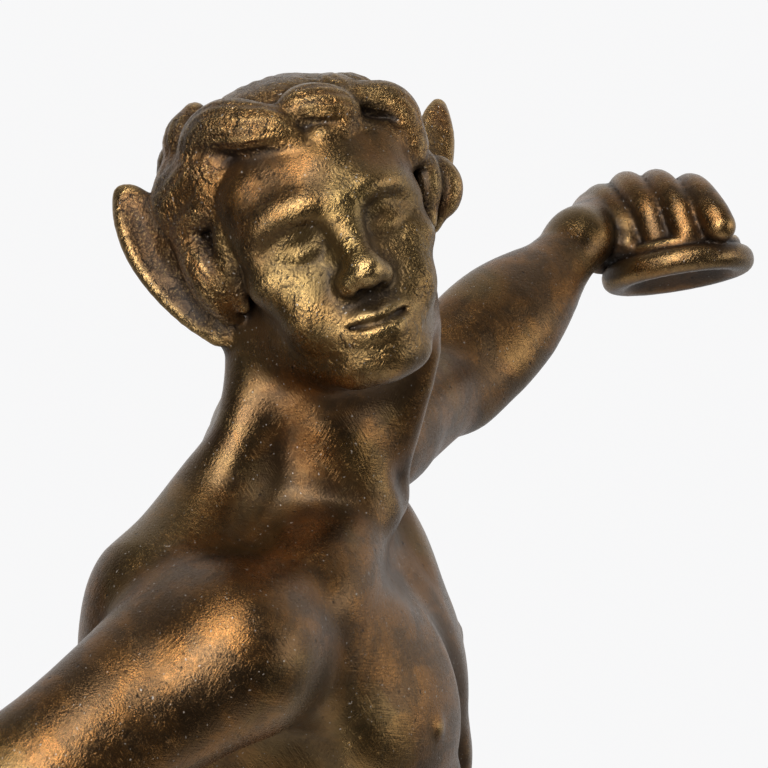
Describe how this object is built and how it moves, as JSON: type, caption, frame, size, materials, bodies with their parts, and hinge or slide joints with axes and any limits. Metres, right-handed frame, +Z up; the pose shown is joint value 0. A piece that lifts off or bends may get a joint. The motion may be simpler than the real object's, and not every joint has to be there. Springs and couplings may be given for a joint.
{
  "type": "faun statuette",
  "caption": "Cast bronze statuette of a nude dancing faun with goat's ears, arms spread, a small hand cymbal gripped in each fist, on a low oval ground.",
  "frame": {"origin": "middle of the oval ground's flat underside", "axes": "+Z up through the figure, his chest faces -Y, his raised left arm reaches to +X"},
  "size_m": [0.2586, 0.194, 0.3509],
  "materials": {
    "bronze": "cast bronze, chased and brushed, with a warm brown patina rubbed to gold on the high places"
  },
  "bodies": {
    "root": {"faun": "bronze"}
  },
  "joints": []
}
